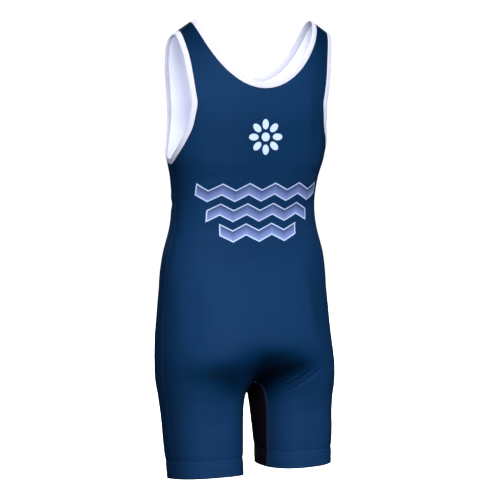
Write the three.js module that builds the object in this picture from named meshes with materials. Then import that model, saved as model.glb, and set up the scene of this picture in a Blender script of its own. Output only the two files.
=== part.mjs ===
// A youth wrestling singlet, filled out as it is when worn, with no wearer inside.
// Millimetres, +Z up, back of the garment towards +Y, the wearer's left towards +X.
// The origin is midway between the two shoulder seams, where the shoulders hold it up.

import * as THREE from 'three';

// Cloth and seams
const WALL = 1.4;
const SEAM_GAP = 0.3;
const BINDING_WIDTH = 8.2;
const BINDING_PROUD = 0.4;
const HEM_DEPTH = 24;
const HEM_EXTRA = 0.9;
const HEM_FLARE = 0.5;
const GROOVE = { depth: 0.8, width: 4 };

// Main heights
const YOKE_HEIGHT = -110;
const CHEST_HEIGHT = -232;
const HIP_HEIGHT = -430;
const CROTCH_HEIGHT = -512;
const HEM_HEIGHT = -632;

// The yoke rises from the chest ring to the shoulder seam in quarter curves.
const YOKE_ARC = 130;
const SHOULDER_NECK_X = 82;
const SHOULDER_SLOPE = 0.67;
const BACK_CURVE = { rise: 2, fall: 0.5 };
const FRONT_CURVE = { rise: 1.2, fall: 0.5 };

// Neck edges of the two panels: half width, depth, and the powers that shape the scoop
const BACK_NECK = { halfWidth: 93.5, depth: 97, across: 2, down: 1.38 };
const FRONT_NECK = { halfWidth: 92.5, depth: 91, across: 3.4, down: 2 };

const NECK_SHOULDER_X = 92.4;

// Inner-leg gusset seams, each in a plane of its own
const GUSSET_BACK_Y = 12;
const GUSSET_FRONT_Y = -72;

// The gusset's ends stand back further from the panels at the crotch, over its first rows.
const CROTCH_EASE = 0.45;
const CROTCH_EASE_ROWS = 4;

// Side seam, in degrees towards the back, at the armhole and at the leg hem
const SIDE_SEAM_TOP = 1;
const SIDE_SEAM_HEM = 11;

// How far each leg's hem hangs below HEM_HEIGHT, and its slopes down to the outer side and
// up to the back
const LEGS = [
  { name: 'left', side: 1, drop: 7, tilt: 0.01, lift: 0.145 },
  { name: 'right', side: -1, drop: -6, tilt: -0.04, lift: 0.03 },
];

// Rings of the body, from the yoke to the hems. legX is the ring's centre off the middle plane;
// outer and inner are its half widths away from and towards that plane; back and front are its
// depths from centreY, each with the power that squares it, and fillet rounds the valley
// between the legs.
const RINGS = table(
  ['z', 'legX', 'centreY', 'outer', 'inner', 'back', 'front', 'backPower', 'frontPower', 'fillet'],
  [
    [-110, 0, 0, 126, 126, 51, 77, 2.1, 3.0, 0],
    [-150, 0, -13, 117, 122, 67, 77, 2.2, 2.8, 0],
    [-193, 0, -25, 111, 118, 79, 69, 2.5, 2.6, 0],
    [-219, 0, -30, 105, 118, 77, 68, 2.5, 2.5, 0],
    [-255, 0, -31, 102, 118, 66, 70, 2.5, 2.5, 0],
    [-290, 0, -27, 105, 118, 55, 78, 2.5, 2.5, 0],
    [-333, 0, -28, 115.5, 118, 64, 84, 2.5, 2.5, 0],
    [-375, 0, -34, 119, 120, 84, 84, 2.5, 2.5, 0],
    [-424, 8, -37, 114.5, 118, 99, 83, 2.5, 2.5, 2],
    [-453, 27, -36, 97, 108, 102, 85, 2.5, 2.5, 5],
    [-481, 46, -31.5, 79, 84, 96, 87, 2.5, 2.5, 7],
    [-499, 57.5, -29.5, 67.3, 65, 90, 86, 2.5, 2.5, 8],
    [-513, 63.8, -28, 60, 56, 84, 83, 2.5, 2.5, 7],
    [-527, 66.5, -26, 55.5, 53, 78, 79, 2.5, 2.5, 6],
    [-550, 67, -23, 53, 51.5, 73, 74, 2.5, 2.5, 5],
    [-582, 67.5, -18, 51, 51, 69, 69, 2.5, 2.5, 5],
    [-616, 67.5, -14, 48.5, 50, 66, 64, 2.5, 2.5, 5],
    [-650, 67.5, -10, 46.5, 49.5, 64, 61, 2.5, 2.5, 5],
  ],
);

// Armhole edge of the panels, from the shoulder at the back, under the arm, to the shoulder
// at the front: degrees round the ring from the side, and height measured along the cloth.
const ARMHOLE = table(
  ['angle', 'height'],
  [
    [13.7, 20],
    [15, -24],
    [17.2, -60],
    [19.4, -95],
    [22, -127],
    [22.8, -151],
    [18.2, -176],
    [9.6, -194],
    [0, -202],
    [-12, -195],
    [-25, -171],
    [-32.3, -138],
    [-31.6, -105],
    [-25.4, -62],
    [-22.6, -22],
    [-26.3, 20],
  ],
);
const ARMHOLE_BOTTOM_ROW = 8;
const ARMHOLE_SHOULDER_X = 109.4;

// Sideways lean of the whole garment, towards the wearer's left
const LEAN = table(
  ['z', 'x'],
  [
    [0, -2.2],
    [-60, -1.8],
    [-150, -0.4],
    [-240, 0],
    [-430, 0],
    [-540, -1],
    [-650, -1],
  ],
);

// Mesh rows at the hem's stitching and below it, measured down from the top of the hem
const HEM_LINES = [-5, 0, 6, HEM_DEPTH];

// Mesh counts
const ACROSS = 11;
const CENTRE_ROWS = 10;
const NECK_ROWS = 14;
const SEAM_ROWS = 2;
const ARMHOLE_ROWS = CENTRE_ROWS + NECK_ROWS - SEAM_ROWS;
const WAIST_ROWS = 11;
const SEAT_ROWS = 6;
const LEG_ROWS = 10;
const LEG_SPACING = 1.6;
const GUSSET_ACROSS = 8;
const NECK_SAMPLES = 90;
const ARMHOLE_SAMPLES = 8;
const HALVINGS = 40;
const MERGE = 0.002;

const DEGREE = Math.PI / 180;
const STEP = 0.25;

function table(columns, rows) {
  return rows.map((row) => Object.fromEntries(columns.map((name, k) => [name, row[k]])));
}

function mix(a, b, t) {
  return a + (b - a) * t;
}

function hermite(a, b, slopeA, slopeB, t) {
  const t2 = t * t;
  const t3 = t2 * t;
  return (2 * t3 - 3 * t2 + 1) * a + (t3 - 2 * t2 + t) * slopeA
    + (3 * t2 - 2 * t3) * b + (t3 - t2) * slopeB;
}

// One column of a table as a smooth curve of another column, which only rises or only falls.
// The curve leaves its first row level.
function along(rows, key, column, at) {
  const falling = rows[0][key] > rows[1][key];
  const last = rows.length - 2;
  let k = rows.findIndex((row) => (falling ? row[key] < at : row[key] > at)) - 1;
  k = k < -1 ? last : Math.min(Math.max(k, 0), last);
  const slope = (i) => {
    if (i === 0) {
      return 0;
    }
    const a = rows[i - 1];
    const b = rows[Math.min(i + 1, rows.length - 1)];
    return (b[column] - a[column]) / (b[key] - a[key]);
  };
  const [a, b] = [rows[k], rows[k + 1]];
  const span = b[key] - a[key];
  return hermite(a[column], b[column], slope(k) * span, slope(k + 1) * span, (at - a[key]) / span);
}

function ringAt(z) {
  const ring = { z };
  for (const name of Object.keys(RINGS[0])) {
    if (name !== 'z') {
      ring[name] = along(RINGS, 'z', name, z);
    }
  }
  ring.fillet = Math.max(ring.fillet, 0);
  ring.legX = Math.max(ring.legX, 0);
  return ring;
}

// The valley between the legs is rounded by measuring x as if round a small cylinder.
function filleted(x, fillet) {
  return Math.sign(x) * Math.sqrt(Math.max(x * x - fillet * fillet, 0));
}

// Depth and power of the half of the ring that faces the back, or the front.
function face(ring, towardsBack) {
  return towardsBack >= 0
    ? { depth: ring.back, power: ring.backPower }
    : { depth: ring.front, power: ring.frontPower };
}

function ringPoint(z, angle) {
  const ring = ringAt(z);
  const across = Math.cos(angle);
  const deep = Math.sin(angle);
  const halfWidth = across >= 0 ? ring.outer : ring.inner;
  const { depth, power } = face(ring, deep);
  const sum = (Math.abs(across) / halfWidth) ** power + (Math.abs(deep) / depth) ** power;
  const radius = sum ** (-1 / power);
  const x = filleted(ring.legX + radius * across, ring.fillet);
  return new THREE.Vector3(x, ring.centreY + radius * deep, z);
}

function shoulderZ(x) {
  return -SHOULDER_SLOPE * Math.max(x - SHOULDER_NECK_X, 0);
}

// The yoke: every line of the chest ring climbs to the shoulder seam above it.
function yokePoint(angle, height) {
  const foot = ringPoint(YOKE_HEIGHT, angle);
  const climb = Math.min((height - YOKE_HEIGHT) / YOKE_ARC, 1);
  const rise = Math.sin((climb * Math.PI) / 2);
  const curve = angle >= 0 ? BACK_CURVE : FRONT_CURVE;
  const depth = (1 - rise ** curve.rise) ** curve.fall;
  return new THREE.Vector3(foot.x, foot.y * depth, mix(YOKE_HEIGHT, shoulderZ(foot.x), rise));
}

// How far the cloth of a leg is shifted up or down, growing from the crotch to the hem.
function hemShift(leg, x, y, z) {
  const down = THREE.MathUtils.smoothstep(-z, -CROTCH_HEIGHT, -HEM_HEIGHT);
  const ring = ringAt(HEM_HEIGHT);
  return (leg.lift * (y - ring.centreY) - leg.tilt * (x - ring.legX) - leg.drop) * down;
}

// The hem stitching draws the cloth in, and the turned-up hem below it stands out a little.
function hemRelief(z) {
  const below = HEM_HEIGHT + HEM_DEPTH - z;
  const drawnIn = GROOVE.depth * Math.exp(-((below / GROOVE.width) ** 2));
  return HEM_FLARE * THREE.MathUtils.smoothstep(below, 0, HEM_DEPTH) - drawnIn;
}

// A point of the cloth's outer face on one half of the body.
function skinPoint(leg, angle, height) {
  const point = height > YOKE_HEIGHT ? yokePoint(angle, height) : ringPoint(height, angle);
  point.z += hemShift(leg, point.x, point.y, point.z);
  point.x *= leg.side;
  return point;
}

function skin(leg, angle, height) {
  const top = YOKE_HEIGHT + YOKE_ARC;
  const high = Math.min(height + STEP, top - STEP);
  const low = Math.min(height - STEP, high - 2 * STEP);
  const turn = STEP * DEGREE;
  const ahead = angle > 0 ? angle : angle + turn;
  const round = skinPoint(leg, ahead, height).sub(skinPoint(leg, ahead - turn, height));
  const up = skinPoint(leg, angle, high).sub(skinPoint(leg, angle, low));
  const normal = round.cross(up).normalize().multiplyScalar(leg.side);
  const point = skinPoint(leg, angle, height);
  point.addScaledVector(normal, hemRelief(height));
  return { point, normal, height };
}

// How far the ring goes round towards the middle plane, at the back or at the front: up to
// that plane above the crotch, and up to the gusset seam on the legs.
function innerAngle(z, side) {
  const ring = ringAt(z);
  const { depth, power } = face(ring, side);
  const toPlane = ring.legX - ring.fillet;
  const planeShare = Math.max(1 - (Math.max(toPlane, 0) / ring.inner) ** power, 0);
  const planeDepth = depth * planeShare ** (1 / power);
  const seamDepth = Math.abs((side > 0 ? GUSSET_BACK_Y : GUSSET_FRONT_Y) - ring.centreY);
  if (planeDepth >= seamDepth) {
    return Math.atan2(planeDepth, -toPlane);
  }
  const share = 1 - (seamDepth / depth) ** power;
  return Math.atan2(seamDepth, -ring.inner * share ** (1 / power));
}

// The x, on the rounded measure, of the inner leg at a given y and z.
function innerLegX(y, z) {
  const ring = ringAt(z);
  const { depth, power } = face(ring, y - ring.centreY);
  const share = Math.max(1 - (Math.abs(y - ring.centreY) / depth) ** power, 0);
  return ring.legX - ring.inner * share ** (1 / power) - ring.fillet;
}

// The height at which the cloth at this y crosses the middle plane, under the crotch.
function crotchHeight(y) {
  let low = HEM_HEIGHT;
  let high = HIP_HEIGHT;
  for (let k = 0; k < HALVINGS; k += 1) {
    const middle = (low + high) / 2;
    if (innerLegX(y, middle) > 0) {
      low = middle;
    } else {
      high = middle;
    }
  }
  return (low + high) / 2;
}

// The height of a mesh row on a leg, from the crotch seam down to the hem.
function legHeight(top, row) {
  const hemTop = HEM_HEIGHT + HEM_DEPTH;
  const first = LEG_ROWS + 1 - HEM_LINES.length;
  if (row >= first) {
    return hemTop - HEM_LINES[row - first];
  }
  return mix(top, hemTop - HEM_LINES[0], (row / first) ** LEG_SPACING);
}

function sideSeamAngle(height) {
  const down = THREE.MathUtils.smoothstep(-height, -ARMHOLE[ARMHOLE_BOTTOM_ROW].height, -HEM_HEIGHT);
  return mix(SIDE_SEAM_TOP, SIDE_SEAM_HEM, down) * DEGREE;
}

// Points spread evenly along a run of surface places, each an angle and a height.
function spread(places, count, leg) {
  const points = places.map((place) => skinPoint(leg, place.angle, place.height));
  const lengths = [0];
  for (let k = 1; k < points.length; k += 1) {
    lengths.push(lengths[k - 1] + points[k].distanceTo(points[k - 1]));
  }
  const result = [];
  let k = 0;
  for (let step = 0; step <= count; step += 1) {
    const target = (lengths[lengths.length - 1] * step) / count;
    while (k < lengths.length - 2 && lengths[k + 1] < target) {
      k += 1;
    }
    const t = (target - lengths[k]) / (lengths[k + 1] - lengths[k]);
    result.push({
      angle: mix(places[k].angle, places[k + 1].angle, t),
      height: mix(places[k].height, places[k + 1].height, t),
    });
  }
  return result;
}

function heightOnYoke(x, z) {
  const rise = (z - YOKE_HEIGHT) / (shoulderZ(x) - YOKE_HEIGHT);
  return YOKE_HEIGHT + (YOKE_ARC * Math.asin(Math.min(rise, 1))) / (Math.PI / 2);
}

function angleOnYoke(x, side) {
  const ring = ringAt(YOKE_HEIGHT);
  const { depth, power } = face(ring, side);
  const y = depth * (1 - (x / ring.outer) ** power) ** (1 / power);
  return Math.atan2(side * y, x);
}

// The neck edge from the middle of the panel to the shoulder seam.
function neckPlaces(neck, side) {
  const places = [];
  for (let k = 0; k <= NECK_SAMPLES; k += 1) {
    const turn = (k / NECK_SAMPLES) * (Math.PI / 2);
    const x = neck.halfWidth * Math.sin(turn) ** (2 / neck.across);
    const z = -neck.depth * Math.cos(turn) ** (2 / neck.down);
    if (z >= shoulderZ(x)) {
      break;
    }
    places.push({ angle: angleOnYoke(x, side), height: heightOnYoke(x, z) });
  }
  places.push({ angle: angleOnYoke(NECK_SHOULDER_X, side), height: YOKE_HEIGHT + YOKE_ARC });
  return places;
}

// The armhole edge as a smooth curve through the rows of its table.
function armholePlaces(from, to) {
  const places = [];
  const rowAt = (k) => ARMHOLE[Math.min(Math.max(k, 0), ARMHOLE.length - 1)];
  for (let k = from; k < to; k += 1) {
    for (let sample = 0; sample < ARMHOLE_SAMPLES; sample += 1) {
      const t = sample / ARMHOLE_SAMPLES;
      const curve = (column) => hermite(
        rowAt(k)[column],
        rowAt(k + 1)[column],
        (rowAt(k + 1)[column] - rowAt(k - 1)[column]) / 2,
        (rowAt(k + 2)[column] - rowAt(k)[column]) / 2,
        t,
      );
      places.push({ angle: curve('angle') * DEGREE, height: curve('height') });
    }
  }
  places.push({ angle: ARMHOLE[to].angle * DEGREE, height: ARMHOLE[to].height });
  return places;
}

// The armhole edge from under the arm to the shoulder seam, at the back or at the front.
function armholeHalf(side) {
  const places = side > 0
    ? armholePlaces(0, ARMHOLE_BOTTOM_ROW).reverse()
    : armholePlaces(ARMHOLE_BOTTOM_ROW, ARMHOLE.length - 1);
  places[places.length - 1].angle = angleOnYoke(ARMHOLE_SHOULDER_X, side);
  return places;
}

function straight(from, to, count) {
  const places = [];
  for (let k = 0; k <= count; k += 1) {
    places.push({
      angle: mix(from.angle, to.angle, k / count),
      height: mix(from.height, to.height, k / count),
    });
  }
  return places;
}

// The rows of one half of a panel, from the hem up: for each, its place on the side edge
// and its place on the edge towards the middle.
function panelRows(leg, side, neck) {
  const rows = [];
  const archTop = crotchHeight(side > 0 ? GUSSET_BACK_Y : GUSSET_FRONT_Y);
  const level = (z) => rows.push({
    outer: { angle: sideSeamAngle(z), height: z },
    inner: { angle: side * innerAngle(z, side), height: z },
  });
  for (let row = LEG_ROWS; row >= 0; row -= 1) {
    level(legHeight(archTop, row));
  }
  for (let row = 1; row <= SEAT_ROWS; row += 1) {
    level(mix(archTop, HIP_HEIGHT, row / SEAT_ROWS));
  }
  for (let row = 1; row <= WAIST_ROWS; row += 1) {
    level(mix(HIP_HEIGHT, CHEST_HEIGHT, row / WAIST_ROWS));
  }
  const middle = { angle: (side * Math.PI) / 2, height: CHEST_HEIGHT };
  const neckEdge = neckPlaces(neck, side);
  const armhole = armholeHalf(side);
  const chestSide = { angle: sideSeamAngle(CHEST_HEIGHT), height: CHEST_HEIGHT };
  const inner = [
    ...straight(middle, neckEdge[0], CENTRE_ROWS).slice(1),
    ...spread(neckEdge, NECK_ROWS, leg).slice(1),
  ];
  const outer = [
    ...straight(chestSide, armhole[0], SEAM_ROWS).slice(1),
    ...spread(armhole, ARMHOLE_ROWS, leg).slice(1),
  ];
  inner.forEach((place, k) => rows.push({ inner: place, outer: outer[k] }));
  return rows;
}

// Moves the edge of a piece back from its seam, within the cloth.
function pulledBack(place, towards, distance) {
  const away = place.point.clone().sub(towards.point);
  away.addScaledVector(place.normal, -away.dot(place.normal));
  place.point.addScaledVector(away.normalize(), -distance);
}

function panelGrid(leg, side, neck) {
  const rows = panelRows(leg, side, neck);
  const grid = rows.map(({ inner, outer }) => {
    const line = [];
    for (let k = 0; k <= ACROSS; k += 1) {
      const t = k / ACROSS;
      line.push(skin(leg, mix(outer.angle, inner.angle, t), mix(outer.height, inner.height, t)));
    }
    return line;
  });
  const seamRows = LEG_ROWS + SEAT_ROWS + WAIST_ROWS + SEAM_ROWS;
  grid.forEach((line, row) => {
    if (row <= seamRows) {
      pulledBack(line[0], line[1], SEAM_GAP / 2);
    }
    if (row <= LEG_ROWS) {
      pulledBack(line[ACROSS], line[ACROSS - 1], SEAM_GAP / 2);
    }
  });
  const last = grid.length - 1;
  grid[last].forEach((place, k) => pulledBack(place, grid[last - 1][k], SEAM_GAP / 2));
  for (let row = LEG_ROWS + 1; row < grid.length - NECK_ROWS; row += 1) {
    grid[row][ACROSS].point.x = 0;
    grid[row][ACROSS].normal.setX(0).normalize();
  }
  return grid;
}

// A sheet is a list of places and the triangles between them, facing along the normals.
class Sheet {
  constructor() {
    this.places = [];
    this.triangles = [];
    this.found = new Map();
  }

  add(place) {
    const key = place.point.toArray().map((value) => Math.round(value / MERGE)).join(' ');
    if (!this.found.has(key)) {
      this.found.set(key, this.places.length);
      this.places.push(place);
    }
    return this.found.get(key);
  }

  triangle(a, b, c) {
    if (a === b || b === c || c === a) {
      return;
    }
    const [p, q, r] = [a, b, c].map((k) => this.places[k].point);
    const facing = q.clone().sub(p).cross(r.clone().sub(p));
    const outward = facing.dot(this.places[a].normal) + facing.dot(this.places[b].normal)
      + facing.dot(this.places[c].normal);
    this.triangles.push(outward > 0 ? [a, b, c] : [a, c, b]);
  }

  addGrid(grid) {
    const index = grid.map((line) => line.map((place) => this.add(place)));
    for (let row = 0; row < index.length - 1; row += 1) {
      for (let k = 0; k < index[row].length - 1; k += 1) {
        const [a, b] = [index[row][k], index[row][k + 1]];
        const [d, c] = [index[row + 1][k], index[row + 1][k + 1]];
        const [p, q, r, t] = [a, b, c, d].map((n) => this.places[n].point);
        if (p.distanceTo(r) <= q.distanceTo(t)) {
          this.triangle(a, b, c);
          this.triangle(a, c, d);
        } else {
          this.triangle(a, b, d);
          this.triangle(b, c, d);
        }
      }
    }
  }
}

// Gives a sheet its thickness, inwards from its outer face, and closes it round every edge.
function thicken(sheet, thicknessAt) {
  const count = sheet.places.length;
  const positions = [];
  for (const { point } of sheet.places) {
    positions.push(...point.toArray());
  }
  for (const place of sheet.places) {
    const under = place.point.clone().addScaledVector(place.normal, -thicknessAt(place));
    positions.push(...under.toArray());
  }
  const faces = [];
  const edges = new Map();
  for (const [a, b, c] of sheet.triangles) {
    faces.push(a, b, c, a + count, c + count, b + count);
    for (const [from, to] of [[a, b], [b, c], [c, a]]) {
      if (edges.has(`${to} ${from}`)) {
        edges.delete(`${to} ${from}`);
      } else {
        edges.set(`${from} ${to}`, [from, to]);
      }
    }
  }
  for (const [from, to] of edges.values()) {
    faces.push(from, from + count, to + count, from, to + count, to);
  }
  const geometry = new THREE.BufferGeometry();
  geometry.setAttribute('position', new THREE.Float32BufferAttribute(positions, 3));
  geometry.setIndex(faces);
  geometry.computeVertexNormals();
  return geometry;
}

function clothThickness(place) {
  return place.height > HEM_HEIGHT + HEM_DEPTH ? WALL : WALL + HEM_EXTRA;
}

function panel(side, neck) {
  const sheet = new Sheet();
  for (const leg of LEGS) {
    sheet.addGrid(panelGrid(leg, side, neck));
  }
  return thicken(sheet, clothThickness);
}

// The inner-leg gusset: lines across the crotch, each up one leg and down the other.
function gussetPlace(leg, y, z) {
  const at = (yy, zz) => {
    const x = innerLegX(yy, zz);
    const fillet = ringAt(zz).fillet;
    return new THREE.Vector3(filleted(Math.max(x, 0) + fillet, fillet), yy, zz);
  };
  const point = at(y, z);
  const onCrotch = point.x < STEP;
  const deep = onCrotch
    ? new THREE.Vector3(0, 2 * STEP, crotchHeight(y + STEP) - crotchHeight(y - STEP))
    : at(y + STEP, z).sub(at(y - STEP, z));
  const up = onCrotch ? new THREE.Vector3(-1, 0, 0) : point.clone().sub(at(y, z - 2 * STEP));
  const normal = up.cross(deep).normalize();
  point.z += hemShift(leg, point.x, y, z);
  point.x *= leg.side;
  normal.x *= leg.side;
  point.addScaledVector(normal, hemRelief(z));
  return { point, normal, height: z };
}

function gussetGrid(leg) {
  const grid = [];
  for (let row = 0; row <= LEG_ROWS; row += 1) {
    const line = [];
    for (let k = 0; k <= GUSSET_ACROSS; k += 1) {
      const y = mix(GUSSET_FRONT_Y, GUSSET_BACK_Y, k / GUSSET_ACROSS);
      line.push(gussetPlace(leg, y, legHeight(crotchHeight(y), row)));
    }
    const gap = SEAM_GAP / 2 + CROTCH_EASE * Math.max(1 - row / CROTCH_EASE_ROWS, 0);
    pulledBack(line[0], line[1], gap);
    pulledBack(line[GUSSET_ACROSS], line[GUSSET_ACROSS - 1], gap);
    grid.push(line);
  }
  grid[0].forEach((place) => {
    place.point.x = 0;
    place.normal.setX(0).normalize();
  });
  return grid;
}

function gusset() {
  const sheet = new Sheet();
  for (const leg of LEGS) {
    sheet.addGrid(gussetGrid(leg));
  }
  return thicken(sheet, clothThickness);
}

// A binding is a closed strip made from the points of the panels' edges, moved out over
// the raw edge. The edge runs with the cloth on the given hand.
function binding(edge, hand) {
  const count = edge.length;
  const corners = edge.map(({ point, normal }, k) => {
    const ahead = edge[(k + 1) % count].point;
    const behind = edge[(k + count - 1) % count].point;
    const run = ahead.clone().sub(behind).normalize();
    const out = run.cross(normal).normalize().multiplyScalar(hand);
    const at = (across, height) => point.clone()
      .addScaledVector(out, across)
      .addScaledVector(normal, height);
    const low = -WALL - BINDING_PROUD;
    return [
      at(SEAM_GAP, BINDING_PROUD),
      at(SEAM_GAP + BINDING_WIDTH, BINDING_PROUD),
      at(SEAM_GAP + BINDING_WIDTH, low),
      at(SEAM_GAP, low),
    ];
  });
  const positions = corners.flat().flatMap((corner) => corner.toArray());
  const faces = [];
  for (let k = 0; k < count; k += 1) {
    for (let side = 0; side < 4; side += 1) {
      const next = (side + 1) % 4;
      const [a, b] = [4 * k + side, 4 * k + next];
      const [d, c] = [4 * ((k + 1) % count) + side, 4 * ((k + 1) % count) + next];
      faces.push(...(hand > 0 ? [a, b, c, a, c, d] : [a, c, b, a, d, c]));
    }
  }
  const geometry = new THREE.BufferGeometry();
  geometry.setAttribute('position', new THREE.Float32BufferAttribute(positions, 3));
  geometry.setIndex(faces);
  geometry.computeVertexNormals();
  return geometry;
}

function neckEdge() {
  const [left, right] = LEGS;
  const half = (leg, neck, side) => spread(neckPlaces(neck, side), NECK_ROWS, leg)
    .map((place) => skin(leg, place.angle, place.height));
  const back = half(left, BACK_NECK, 1);
  const front = half(left, FRONT_NECK, -1).reverse();
  const frontRight = half(right, FRONT_NECK, -1);
  const backRight = half(right, BACK_NECK, 1).reverse();
  return [...back, ...front.slice(1), ...frontRight.slice(1), ...backRight.slice(1, -1)];
}

function armholeEdge(leg) {
  const half = (side) => spread(armholeHalf(side), ARMHOLE_ROWS, leg)
    .map((place) => skin(leg, place.angle, place.height));
  return [...half(1), ...half(-1).reverse().slice(1, -1)];
}

const KNIT_ROUGHNESS = 0.62;

function clothMaterial(color) {
  return new THREE.MeshStandardMaterial({ color, roughness: KNIT_ROUGHNESS, metalness: 0 });
}

const NAVY = 0x0d2c4f;
const BLACK = 0x0a0a12;
const WHITE = 0xdcdcea;

const singlet = new THREE.Group();

function sew(name, geometry, color) {
  const position = geometry.attributes.position;
  for (let k = 0; k < position.count; k += 1) {
    position.setX(k, position.getX(k) + along(LEAN, 'z', 'x', position.getZ(k)));
  }
  const mesh = new THREE.Mesh(geometry, clothMaterial(color));
  mesh.name = name;
  singlet.add(mesh);
}

sew('back_panel', panel(1, BACK_NECK), NAVY);
sew('front_panel', panel(-1, FRONT_NECK), NAVY);
sew('inner_leg_gusset', gusset(), BLACK);
sew('neck_binding', binding(neckEdge(), 1), WHITE);
for (const leg of LEGS) {
  sew(`armhole_binding_${leg.name}`, binding(armholeEdge(leg), -leg.side), WHITE);
}

export default singlet;
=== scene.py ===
"""A youth wrestling singlet, filled out as it is when worn, with no wearer inside.

Lengths in the tables are millimetres, +Z up, the garment's back towards +Y and the
wearer's left towards +X. The origin is midway between the shoulder seams.
"""

import math

import bpy
import numpy as np
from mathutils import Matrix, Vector


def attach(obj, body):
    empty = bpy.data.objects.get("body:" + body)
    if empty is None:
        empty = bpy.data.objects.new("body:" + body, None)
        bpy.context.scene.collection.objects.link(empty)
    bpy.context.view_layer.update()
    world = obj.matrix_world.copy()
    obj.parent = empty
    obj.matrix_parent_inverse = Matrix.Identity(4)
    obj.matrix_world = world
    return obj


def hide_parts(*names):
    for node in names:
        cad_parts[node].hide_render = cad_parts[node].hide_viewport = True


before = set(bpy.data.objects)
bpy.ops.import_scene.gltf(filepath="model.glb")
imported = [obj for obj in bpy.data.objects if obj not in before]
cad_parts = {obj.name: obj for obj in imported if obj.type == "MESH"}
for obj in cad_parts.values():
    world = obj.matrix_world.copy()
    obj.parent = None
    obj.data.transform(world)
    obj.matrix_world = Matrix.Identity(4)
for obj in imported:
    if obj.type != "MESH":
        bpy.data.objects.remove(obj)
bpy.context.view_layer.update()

MM = 0.001
DEGREE = math.pi / 180

# --- The camera: behind the garment and to the wearer's left ---

AZIMUTH, ELEVATION = 158.5 * DEGREE, 4.6 * DEGREE
DISTANCE = 2.8
LENS, SENSOR = 143, 36
LOOK_HEIGHT, LOOK_DEPTH, LOOK_ASIDE = -0.324, -0.030, 0.009


def make_camera():
    back = Vector((
        math.sin(AZIMUTH) * math.cos(ELEVATION),
        -math.cos(AZIMUTH) * math.cos(ELEVATION),
        math.sin(ELEVATION),
    ))
    right = Vector((math.cos(AZIMUTH), math.sin(AZIMUTH), 0))
    target = Vector((0, LOOK_DEPTH, LOOK_HEIGHT)) + right * LOOK_ASIDE
    data = bpy.data.cameras.new("camera")
    data.lens = LENS
    data.sensor_width = SENSOR
    camera = bpy.data.objects.new("camera", data)
    camera.location = target + back * DISTANCE
    camera.rotation_euler = back.to_track_quat("Z", "Y").to_euler()
    bpy.context.collection.objects.link(camera)
    bpy.context.scene.camera = camera


# --- The shape of the cloth: the same tables as the solids ---

BACK, FRONT = 1, -1

WALL = 1.0
SEAM_GAP = 0.3
PANEL_GAP = 0.1
BINDING_WIDTH = 8.2
BINDING_PROUD = 0.4
BINDING_UNDER = 1.8
HEM_DEPTH = 24
HEM_EXTRA = 1.2
HEM_FLARE = 0.5
GROOVE_DEPTH, GROOVE_WIDTH = 0.8, 4

YOKE_HEIGHT = -110
CHEST_HEIGHT = -232
HIP_HEIGHT = -430
CROTCH_HEIGHT = -512
HEM_HEIGHT = -632
HEM_TOP = HEM_HEIGHT + HEM_DEPTH

YOKE_ARC = 130
YOKE_TOP = YOKE_HEIGHT + YOKE_ARC
SHOULDER_NECK_X = 82
SHOULDER_SLOPE = 0.67
BACK_RISE, FRONT_RISE, YOKE_FALL = 2, 1.2, 0.5

# Neck edge of each panel: half width, depth, and the powers that shape the scoop
NECK = {BACK: (93.5, 97, 2, 1.38), FRONT: (92.5, 91, 3.4, 2)}
NECK_SHOULDER_X = 92.4
ARMHOLE_SHOULDER_X = 109.4

# Inner-leg gusset seams at the back and at the front, each in a plane of its own
GUSSET_Y = {BACK: 12, FRONT: -72}

# The side seam's angle under the arm and at the hem, in degrees
SIDE_SEAM_TOP, SIDE_SEAM_HEM = 1, 11

# Each leg's side, how far its hem drops, and how it slopes across and from front to back
LEGS = {
    "left": {"side": 1, "drop": 7, "tilt": 0.01, "lift": 0.145},
    "right": {"side": -1, "drop": -6, "tilt": -0.04, "lift": 0.03},
}


def table(columns, rows):
    values = np.array(rows, float)
    return {name: values[:, k] for k, name in enumerate(columns.split())}


RINGS = table(
    "z legX centreY outer inner back front backPower frontPower fillet",
    [
        (-110, 0, 0, 126, 126, 51, 77, 2.1, 3.0, 0),
        (-150, 0, -13, 117, 122, 67, 77, 2.2, 2.8, 0),
        (-193, 0, -25, 111, 118, 79, 69, 2.5, 2.6, 0),
        (-219, 0, -30, 105, 118, 77, 68, 2.5, 2.5, 0),
        (-255, 0, -31, 102, 118, 66, 70, 2.5, 2.5, 0),
        (-290, 0, -27, 105, 118, 55, 78, 2.5, 2.5, 0),
        (-333, 0, -28, 115.5, 118, 64, 84, 2.5, 2.5, 0),
        (-375, 0, -34, 119, 120, 84, 84, 2.5, 2.5, 0),
        (-424, 8, -37, 114.5, 118, 99, 83, 2.5, 2.5, 2),
        (-453, 27, -36, 97, 108, 102, 85, 2.5, 2.5, 5),
        (-481, 46, -31.5, 79, 84, 96, 87, 2.5, 2.5, 7),
        (-499, 57.5, -29.5, 67.3, 65, 90, 86, 2.5, 2.5, 8),
        (-513, 63.8, -28, 60, 56, 84, 83, 2.5, 2.5, 7),
        (-527, 66.5, -26, 55.5, 53, 78, 79, 2.5, 2.5, 6),
        (-550, 67, -23, 53, 51.5, 73, 74, 2.5, 2.5, 5),
        (-582, 67.5, -18, 51, 51, 69, 69, 2.5, 2.5, 5),
        (-616, 67.5, -14, 48.5, 50, 66, 64, 2.5, 2.5, 5),
        (-650, 67.5, -10, 46.5, 49.5, 64, 61, 2.5, 2.5, 5),
    ],
)

ARMHOLE = table(
    "angle height",
    [
        (13.7, 20), (15, -24), (17.2, -60), (19.4, -95), (22, -127), (22.8, -151),
        (18.2, -176), (9.6, -194), (0, -202), (-12, -195), (-25, -171), (-32.3, -138),
        (-31.6, -105), (-25.4, -62), (-22.6, -22), (-26.3, 20),
    ],
)
ARMHOLE_BOTTOM_ROW = 8

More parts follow.
